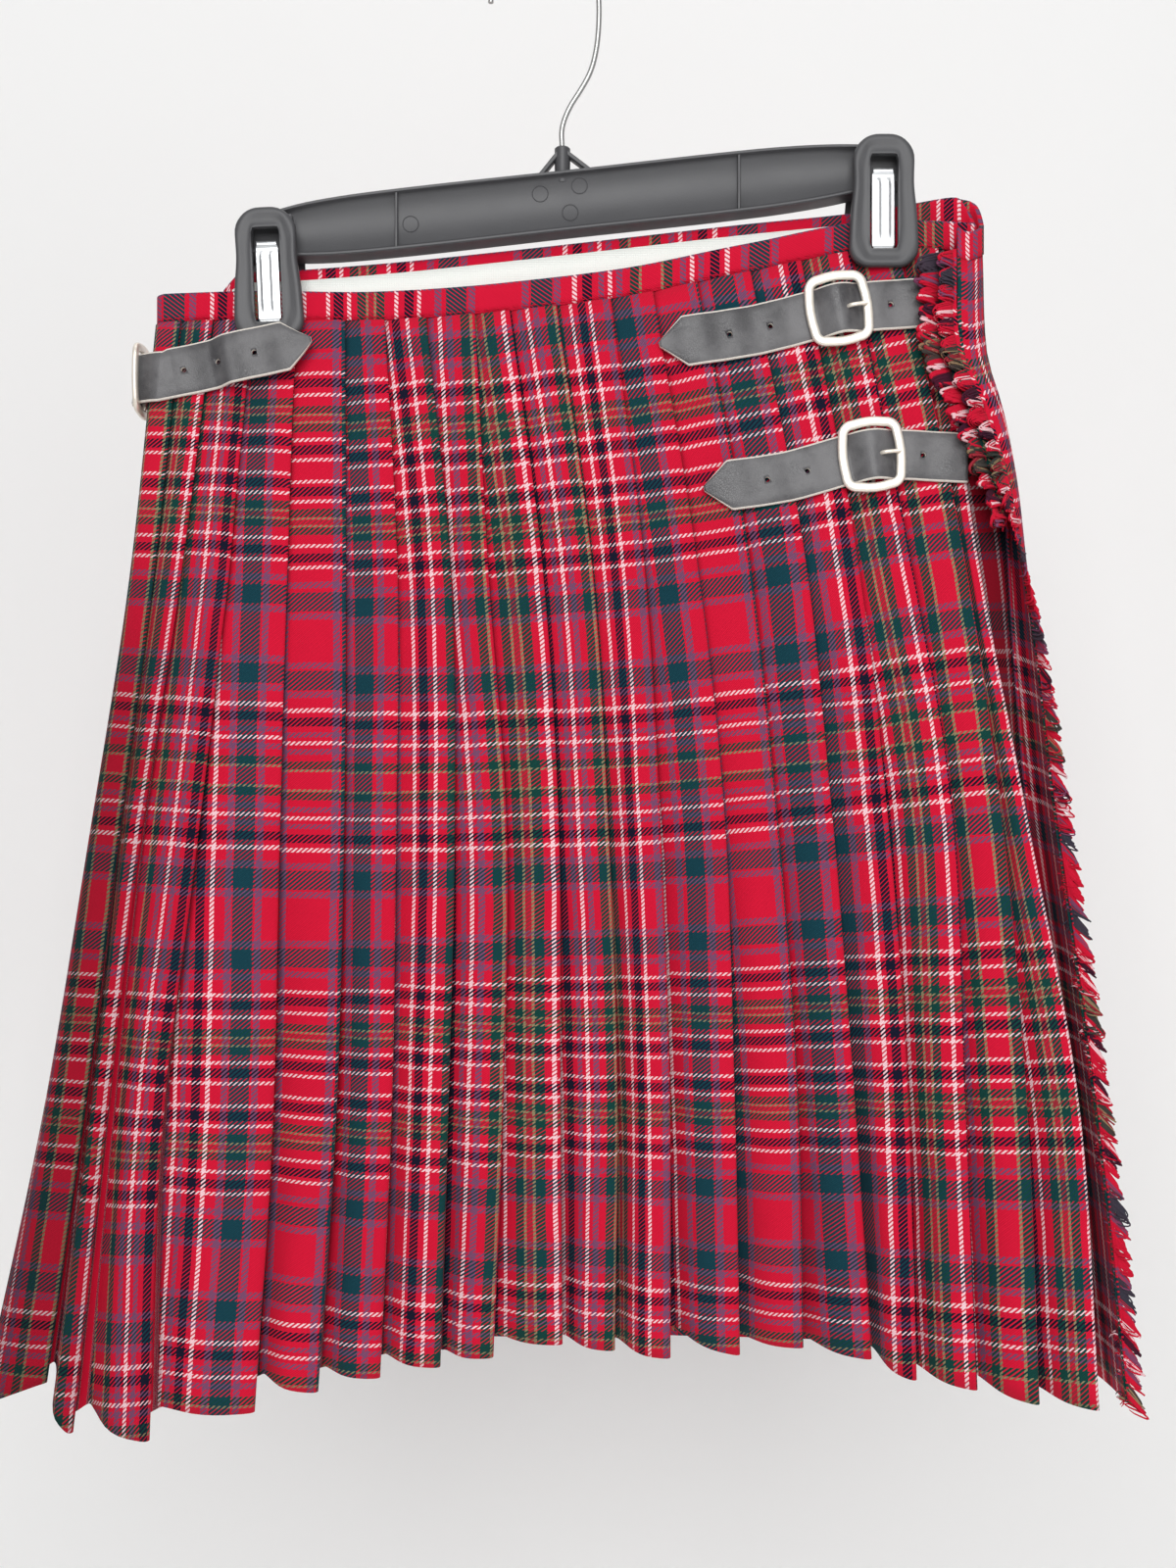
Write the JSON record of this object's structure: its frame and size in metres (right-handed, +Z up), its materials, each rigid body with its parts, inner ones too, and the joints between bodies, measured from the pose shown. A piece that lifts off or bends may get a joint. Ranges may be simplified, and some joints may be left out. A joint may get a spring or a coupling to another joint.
{
  "type": "scottish kilt on a clip hanger",
  "caption": "Pleated tartan kilt seen from its pleated back, with a fringed apron edge and leather straps, clipped to a plastic hanger.",
  "frame": {"origin": "inside of the hanger hook's crown, where the hanger rests on its rail", "axes": "+Z up the hanging kilt, -Y out of the pleated side that the viewer faces, +X to the viewer's right"},
  "size_m": [0.4661, 0.0851, 0.6294],
  "materials": {
    "tartan": "2/2 wool twill in a red, navy, green, teal, light blue, white and yellow sett",
    "cotton": "plain cream cotton",
    "yarn": "loose wool yarn loops",
    "leather": "black grained strap leather with pale cut edges",
    "nickel": "nickel plate, a little dull",
    "steel": "drawn wire and spring strip",
    "plastic": "moulded black, satin"
  },
  "bodies": {
    "root": {"buckle_left_frame": "nickel", "buckle_left_prong": "nickel", "buckle_right_lower_frame": "nickel", "buckle_right_lower_prong": "nickel", "buckle_right_upper_frame": "nickel", "buckle_right_upper_prong": "nickel", "clip_left_back": "plastic", "clip_left_front": "plastic", "clip_left_spring": "steel", "clip_right_back": "plastic", "clip_right_front": "plastic", "clip_right_spring": "steel", "fringe_edge": "yarn", "fringe_strip": "yarn", "hanger_bar": "plastic", "hanger_hook": "steel", "lining": "cotton", "over_apron": "tartan", "pleated_back": "tartan", "strap_left": "leather", "strap_right_lower": "leather", "strap_right_upper": "leather", "under_apron": "tartan", "waistband": "tartan"}
  },
  "joints": []
}
